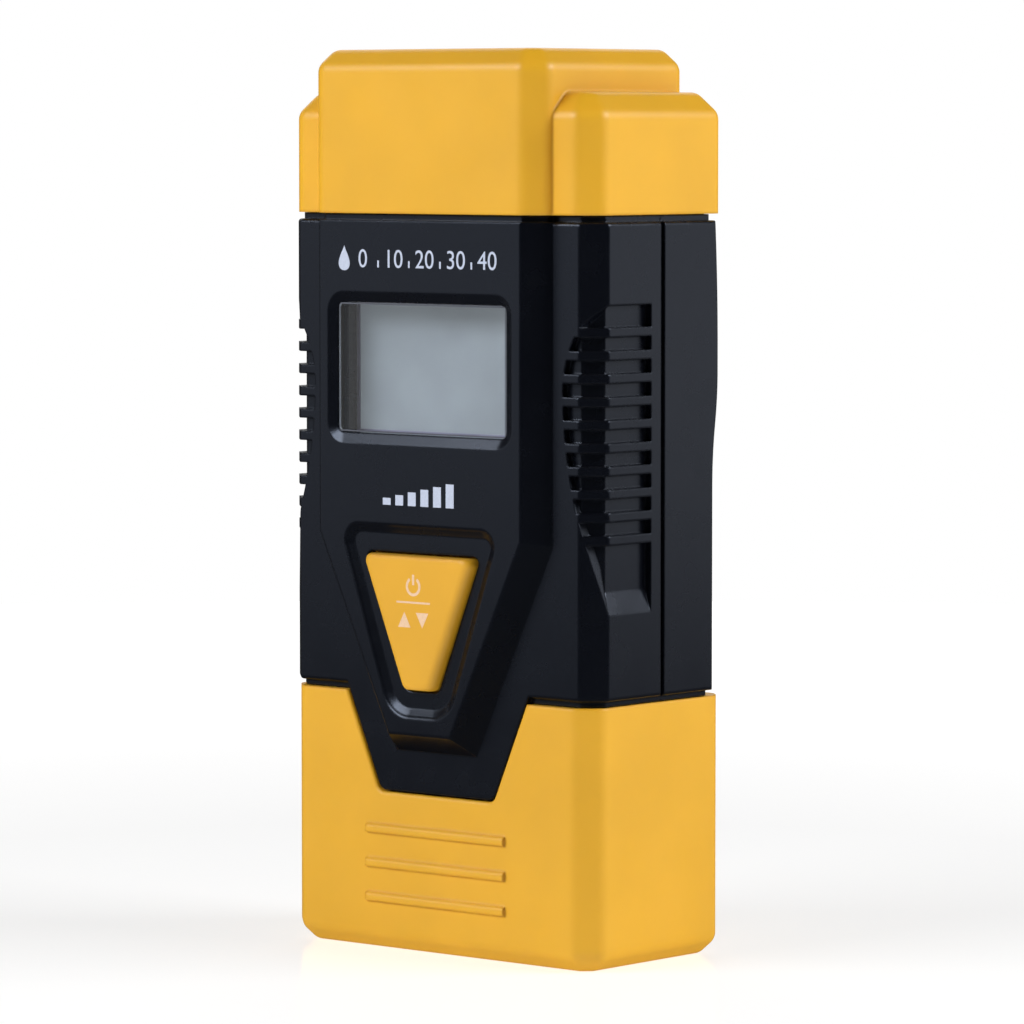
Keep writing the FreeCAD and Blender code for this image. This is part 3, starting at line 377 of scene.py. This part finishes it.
def black_plastic():
    """The two shells' plastic, with a cool sheen."""
    s = moulded("black_case", BLACK, BLACK_EDGE,
                roughness=0.26, grain=0.00018, grain_depth=0.000006, rounding=0.0004)
    s.surface(Specular_Tint=BLACK_SHEEN)
    return s.material


def inner_plastic():
    """The dark plastic of holders and blocks inside the case."""
    s = moulded("holder_plastic", BLACK_INNER, INNER_EDGE,
                roughness=0.45, grain=0.0003, grain_depth=0.00001, rounding=0.0002)
    return s.material


def metal(name, colour, roughness, brush):
    """Bright metal with fine lines along one axis and a little tarnish."""
    s = Shader(name)
    lines = s.noise(BRUSH_SIZE, 2.0, brush)
    tarnish = s.noise(TARNISH_SIZE, 4.0)
    s.surface(
        Base_Color=s.mix(s.ramp(tarnish, TARNISH_BAND), colour, shade(colour, TARNISH_DARK)),
        Roughness=s.ramp(lines, WIDE_BAND, roughness - 0.06, roughness + 0.08),
        Metallic=1.0,
        Normal=s.bump(lines, BRUSH_DEPTH, s.rounded(METAL_ROUNDING)),
    )
    return s.material


def clear_window():
    """Clear acrylic that lets lamps through to the display behind it."""
    s = Shader("clear_window")
    s.surface(Base_Color=WINDOW_TINT, Transmission_Weight=1.0, IOR=1.49, Roughness=0.03)
    s.except_for("Is Shadow Ray", "ShaderNodeBsdfTransparent", WINDOW_SHADOW)
    return s.material


def lcd_glass():
    """A blank grey display that glows a little, as painted light, so that it stays even under the shade of
    its deep bezel.
    """
    s = Shader("lcd_glass")
    cloud = s.noise(CLOUD_SIZE, 2.0)
    fibre = s.noise(FIBRE_SIZE, 3.0)
    grey = s.mix(s.ramp(cloud, SOFT_BAND), shade(LCD_GREY, CLOUD_DARK), shade(LCD_GREY, CLOUD_LIGHT))
    s.surface(
        Base_Color=grey,
        Emission_Color=grey,
        Emission_Strength=LCD_GLOW,
        Roughness=s.ramp(fibre, WIDE_BAND, 0.34, 0.42),
    )
    return s.material


def printed_ink(name, colour):
    """Pad-printed ink, with a faint grain of the plastic below it."""
    s = Shader(name)
    grain = s.ramp(s.noise(INK_GRAIN, 2.0), WIDE_BAND)
    s.surface(Base_Color=s.mix(grain, shade(colour, INK_THIN), colour), Roughness=0.5)
    return s.material


def edge_light(name, colour):
    """A painted highlight: the light line along a clear sheet's edge, as a coloured strip."""
    s = Shader(name)
    cloud = s.noise(SHEET_CLOUD, 3.0)
    s.surface(Base_Color=s.mix(cloud, shade(colour, SHADE_DEEP), colour), Roughness=0.3)
    return s.material


def label_film():
    """Brushed silver label film."""
    s = Shader("label_film")
    brushed = s.noise(LABEL_BRUSH, 3.0, (0.05, 1.0, 1.0))
    s.surface(
        Base_Color=s.mix(brushed, LABEL_DARK, LABEL_LIGHT),
        Roughness=s.ramp(brushed, WIDE_BAND, 0.30, 0.42),
        Metallic=0.6,
    )
    return s.material


def soft_rubber(name, colour):
    """Matt rubber with fine closed cells."""
    s = Shader(name)
    cells = s.noise(RUBBER_CELL, 4.0)
    s.surface(
        Base_Color=s.mix(cells, shade(colour, SHADE_DEEP), colour),
        Roughness=0.85,
        Normal=s.bump(cells, RUBBER_DEPTH),
    )
    return s.material


def laminate():
    """Green solder resist over a woven glass board."""
    s = Shader("board_laminate")
    weave = s.feed(s.node("ShaderNodeTexChecker"), Vector=s.place, Scale=WEAVE_PER_METRE)
    s.surface(Base_Color=s.mix(weave.outputs["Fac"], RESIST_DARK, RESIST_LIGHT), Roughness=0.28)
    return s.material


def speckled(name, dark, light, roughness):
    """The fine uneven colour of chip resin and ceramic."""
    s = Shader(name)
    s.surface(Base_Color=s.mix(s.noise(SPECKLE_SIZE, 4.0), dark, light), Roughness=roughness)
    return s.material


def node_materials():
    """The material of each slot in the part's record."""
    materials = {
        "yellow_case": yellow_plastic(),
        "yellow_key": key_plastic(),
        "black_case": black_plastic(),
        "holder_plastic": inner_plastic(),
        "clear_window": clear_window(),
        "lcd_glass": lcd_glass(),
        "label_film": label_film(),
        "board_laminate": laminate(),
    }
    for name, colour in RUBBERS.items():
        materials[name] = soft_rubber(name, colour)
    for name, (colour, roughness, brush) in METALS.items():
        materials[name] = metal(name, colour, roughness, brush)
    for name, (dark, light, roughness) in SPECKLED.items():
        materials[name] = speckled(name, dark, light, roughness)
    return materials


def dress_nodes(materials):
    """Gives every carried-over node the material of its record slot."""
    slots = {part["node"]: part["material_slot"] for part in frame["record"]["subparts"]}
    for node, shown in frame["nodes"].items():
        for slot in shown.material_slots:
            slot.material = materials[slots[node]]


# ---------------------------------------------------------------- flat outlines, as (x, z) lists
def bar(left, right, low, high):
    """A rectangle."""
    return [(left, low), (right, low), (right, high), (left, high)]


def drop(x, z, height, steps=40):
    """A water drop, round below and pointed above, from one closed curve."""
    half = height / 2
    outline = []
    for i in range(steps):
        turn = 2 * math.pi * i / steps
        across = DROP_SWELL * math.sin(turn) * math.sin(turn / 2) ** DROP_TAPER
        outline.append((x + half * across, z + half * math.cos(turn)))
    return outline


def arc_band(x, z, radius, width, start, end, steps=36):
    """A stretch of ring between two angles, counted from straight up."""
    angles = [math.radians(start + (end - start) * i / steps) for i in range(steps + 1)]
    outer = [(x + radius * math.sin(a), z + radius * math.cos(a)) for a in angles]
    inner = [(x + (radius - width) * math.sin(a), z + (radius - width) * math.cos(a)) for a in angles]
    return outer + inner[::-1]


def frame_bars(left, right, low, high, width):
    """The four mitred sides of a rectangular frame."""
    outer = bar(left, right, low, high)
    inner = bar(left + width, right - width, low + width, high - width)
    return [[outer[i - 1], outer[i], inner[i], inner[i - 1]] for i in range(4)]


def numeral(text, x, z, height):
    """A number's outlines, centred on a point."""
    font = bpy.data.curves.new("numeral", "FONT")
    font.body = text
    font.align_x = "CENTER"
    font.size = height / CAPITAL_SHARE
    shown = bpy.data.objects.new("numeral", font)
    mesh = bpy.data.meshes.new_from_object(shown)
    faces = [[mesh.vertices[i].co for i in face.vertices] for face in mesh.polygons]
    outlines = [[(x + c.x, z - height / 2 + c.y) for c in face] for face in faces]
    bpy.data.objects.remove(shown)
    return outlines


# ---------------------------------------------------------------- detail pieces
def add_piece(name, mesh, material, body):
    """Shows a mesh as a named piece that rides a body of the part."""
    mesh.materials.append(material)
    piece = bpy.data.objects.new(name, mesh)
    bpy.context.collection.objects.link(piece)
    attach(piece, body)
    return piece


def printed(name, outlines, face, rise):
    """A mesh of thin shapes that stand on the plane y = face and rise from it, forward if negative."""
    shape = bmesh.new()
    for outline in outlines:
        corners = [shape.verts.new((x, face, z)) for x, z in outline]
        made = bmesh.ops.extrude_face_region(shape, geom=[shape.faces.new(corners)])
        moved = [g for g in made["geom"] if isinstance(g, bmesh.types.BMVert)]
        bmesh.ops.translate(shape, vec=(0.0, rise, 0.0), verts=moved)
    bmesh.ops.remove_doubles(shape, verts=shape.verts, dist=1e-7)
    bmesh.ops.recalc_face_normals(shape, faces=shape.faces)
    mesh = bpy.data.meshes.new(name)
    shape.to_mesh(mesh)
    shape.free()
    return mesh


def scale_print(ink):
    """A drop and a plain scale of 0 to 40, above the display."""
    outlines = [drop(DROP_X, SCALE_Z, DROP_HEIGHT)]
    places = [SCALE_LEFT + i * SCALE_PITCH for i in range(len(SCALE_NUMBERS))]
    for number, x in zip(SCALE_NUMBERS, places):
        outlines += numeral(str(number), x, SCALE_Z, NUMERAL_HEIGHT)
    for before, after in zip(places, places[1:]):
        x = (before + after) / 2
        outlines.append(bar(x - TICK_WIDTH / 2, x + TICK_WIDTH / 2, SCALE_Z + TICK_LOW, SCALE_Z + TICK_HIGH))
    mesh = printed("scale_print", outlines, PANEL_PLANE, -INK)
    return add_piece("scale_print", mesh, ink, "body")


def level_print(ink):
    """Bars that grow from dry to wet, below the display."""
    outlines = []
    for i in range(LEVEL_COUNT):
        left = LEVEL_LEFT + i * LEVEL_PITCH
        outlines.append(bar(left, left + LEVEL_WIDTH, LEVEL_Z, LEVEL_Z + LEVEL_FIRST + i * LEVEL_RISE))
    mesh = printed("level_print", outlines, PANEL_PLANE, -INK)
    return add_piece("level_print", mesh, ink, "body")


def key_print(ink):
    """A power sign over a line, and an up and a down arrowhead below it."""
    stem_half, line_half = POWER_STROKE / 2, KEY_LINE_WIDTH / 2
    stem_low, stem_high = (POWER_Z + height for height in POWER_STEM)
    left, right = KEY_MARK_X - KEY_LINE_HALF, KEY_MARK_X + KEY_LINE_HALF
    outlines = [
        arc_band(KEY_MARK_X, POWER_Z, POWER_RADIUS, POWER_STROKE, POWER_GAP, 360.0 - POWER_GAP),
        bar(KEY_MARK_X - stem_half, KEY_MARK_X + stem_half, stem_low, stem_high),
        bar(left, right, KEY_LINE_Z - line_half, KEY_LINE_Z + line_half),
    ]
    for side in (-1, 1):
        x = KEY_MARK_X + side * ARROW_APART
        foot, tip = ARROW_Z + side * ARROW_HALF_HEIGHT, ARROW_Z - side * ARROW_HALF_HEIGHT
        outlines.append([(x - ARROW_HALF, foot), (x + ARROW_HALF, foot), (x, tip)])
    mesh = printed("key_print", outlines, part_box("power_key")[0][1], -KEY_INK)
    return add_piece("key_print", mesh, ink, "key")


def window_rim(material):
    """A painted highlight: the thin light line that the window's polished edge shows inside the bezel, drawn
    as a frame on the window's face.
    """
    half = GLASS_HALF - WINDOW_INSET
    bars = frame_bars(-half, half, GLASS_LOW + WINDOW_INSET, GLASS_HIGH - WINDOW_INSET, WINDOW_LINE)
    mesh = printed("window_rim", bars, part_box("display_window")[0][1], -WINDOW_PROUD)
    return add_piece("window_rim", mesh, material, "body")


def lcd_rim(material):
    """A painted highlight: a light frame round the grey area, where the display's top polariser sheet ends.
    """
    half = GLASS_HALF + LCD_REACH
    bars = frame_bars(-half, half, GLASS_LOW - LCD_REACH, GLASS_HIGH + LCD_REACH, LCD_LINE)
    mesh = printed("lcd_rim", bars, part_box("lcd_panel")[0][1], -LCD_PROUD)
    return add_piece("lcd_rim", mesh, material, "body")


def label_print(ink):
    """A border, a drop and blank writing lines on the rear label."""
    low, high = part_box("rear_label")
    left, right = low[0] + LABEL_MARGIN, high[0] - LABEL_MARGIN
    foot, head = low[2] + LABEL_MARGIN, high[2] - LABEL_MARGIN
    outlines = frame_bars(left, right, foot, head, LABEL_BORDER)
    outlines.append(drop(low[0] + LABEL_DROP_X, (low[2] + high[2]) / 2, LABEL_DROP_HEIGHT))
    for i in range(LABEL_LINES):
        z = low[2] + LABEL_LINE_LOW + i * LABEL_LINE_PITCH
        outlines.append(bar(low[0] + LABEL_LINE_LEFT, high[0] - LABEL_LINE_RIGHT, z, z + LABEL_LINE_WIDTH))
    mesh = printed("label_print", outlines, high[1], INK)
    return add_piece("label_print", mesh, ink, "body")


def cell_mark(material):
    """A plus sign and a ring on the outer cell's can.

    The ring's two ends meet, so merging its corners fills the disc inside it. Two half rings would stay open.
    """
    low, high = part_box("button_cells")
    x, z = (low[0] + high[0]) / 2, (low[2] + high[2]) / 2
    cross = z + PLUS_Z
    outlines = [
        arc_band(x, z, CELL_RING, CELL_RING_WIDTH, 0.0, 360.0, 96),
        bar(x - PLUS_HALF, x + PLUS_HALF, cross - PLUS_STROKE, cross + PLUS_STROKE),
        bar(x - PLUS_STROKE, x + PLUS_STROKE, cross - PLUS_HALF, cross - PLUS_STROKE),
        bar(x - PLUS_STROKE, x + PLUS_STROKE, cross + PLUS_STROKE, cross + PLUS_HALF),
    ]
    mesh = printed("cell_mark", outlines, high[1], INK)
    return add_piece("cell_mark", mesh, material, "body")


def add_details(materials):
    """The printing, painted highlight lines along the edges of the clear sheets, and the cell's mark."""
    white = printed_ink("white_ink", INK_WHITE)
    scale_print(white)
    level_print(white)
    key_print(printed_ink("cream_ink", INK_CREAM))
    window_rim(edge_light("window_edge_highlight", WINDOW_EDGE_HIGHLIGHT))
    lcd_rim(edge_light("lcd_edge_highlight", LCD_EDGE_HIGHLIGHT))
    label_print(printed_ink("label_ink", LABEL_INK))
    cell_mark(materials["screw_steel"])


# ---------------------------------------------------------------- stage
def floor_material():
    """A white table top whose mirror image in the black plastic is kept dim."""
    s = Shader("floor_white")
    grain = s.noise(FLOOR_GRAIN, 2.0)
    away = s.node("ShaderNodeVectorMath", operation="LENGTH")
    s.link(s.place, away.inputs[0])
    glowing = (FLOOR_GLOW_FROM * FLOOR_RADIUS, FLOOR_GLOW_TO * FLOOR_RADIUS)
    s.surface(
        Base_Color=s.mix(grain, shade(FLOOR_WHITE, FLOOR_DARK), FLOOR_WHITE),
        Roughness=FLOOR_ROUGHNESS,
        Specular_IOR_Level=FLOOR_SHEEN,
        Emission_Color=WHITE,
        Emission_Strength=s.ramp(away.outputs["Value"], glowing, FLOOR_GLOW, 1.0),
    )
    s.except_for("Is Glossy Ray", "ShaderNodeBsdfDiffuse", FLOOR_UNSEEN)
    return s.material


def make_floor():
    """A round pale table top."""
    mesh = bpy.data.meshes.new("floor")
    shape = bmesh.new()
    bmesh.ops.create_circle(shape, cap_ends=True, segments=96, radius=FLOOR_RADIUS)
    shape.to_mesh(mesh)
    shape.free()
    floor = bpy.data.objects.new("floor", mesh)
    bpy.context.collection.objects.link(floor)
    mesh.materials.append(floor_material())


def make_lights():
    """Softboxes that face the meter and stay out of the picture."""
    for name, (azimuth, elevation, distance, width, height, radiance) in SOFTBOXES.items():
        lamp = bpy.data.lights.new(name, "AREA")
        lamp.shape = "RECTANGLE"
        lamp.size = width
        lamp.size_y = height
        lamp.energy = radiance * math.pi * width * height
        towards = direction(azimuth, elevation)
        softbox = bpy.data.objects.new(name, lamp)
        softbox.location = CENTRE + towards * distance
        softbox.rotation_euler = towards.to_track_quat("Z", "Y").to_euler()
        softbox.visible_camera = False
        bpy.context.collection.objects.link(softbox)


def make_room():
    """A white surround to look at, and a dim one to be lit by."""
    world = bpy.data.worlds.new("room")
    world.use_nodes = True
    bpy.context.scene.world = world
    nodes, links = world.node_tree.nodes, world.node_tree.links
    surround = next(n for n in nodes if n.type == "BACKGROUND")
    path = nodes.new("ShaderNodeLightPath")
    level = nodes.new("ShaderNodeMapRange")
    level.inputs["To Min"].default_value = ROOM_LIGHT
    level.inputs["To Max"].default_value = 1.0
    surround.inputs["Color"].default_value = (*WHITE, 1.0)
    links.new(path.outputs["Is Camera Ray"], level.inputs["Value"])
    links.new(level.outputs["Result"], surround.inputs["Strength"])
    bpy.context.scene.view_settings.view_transform = "Standard"


def make_camera():
    """A long lens that looks at the meter from its front right."""
    lens = bpy.data.cameras.new("camera")
    lens.lens = LENS_MM
    lens.clip_start = 0.01
    towards = direction(VIEW_AZIMUTH, VIEW_ELEVATION)
    right = Vector((0.0, 0.0, 1.0)).cross(towards).normalized()
    up = towards.cross(right)
    eye = CENTRE + towards * VIEW_DISTANCE
    aim = CENTRE + right * AIM_RIGHT - up * AIM_DOWN
    camera = bpy.data.objects.new("camera", lens)
    camera.location = eye
    camera.rotation_euler = (eye - aim).to_track_quat("Z", "Y").to_euler()
    bpy.context.collection.objects.link(camera)
    bpy.context.scene.camera = camera


make_camera()
make_room()
make_lights()
make_floor()
node_finish = node_materials()
dress_nodes(node_finish)
add_details(node_finish)
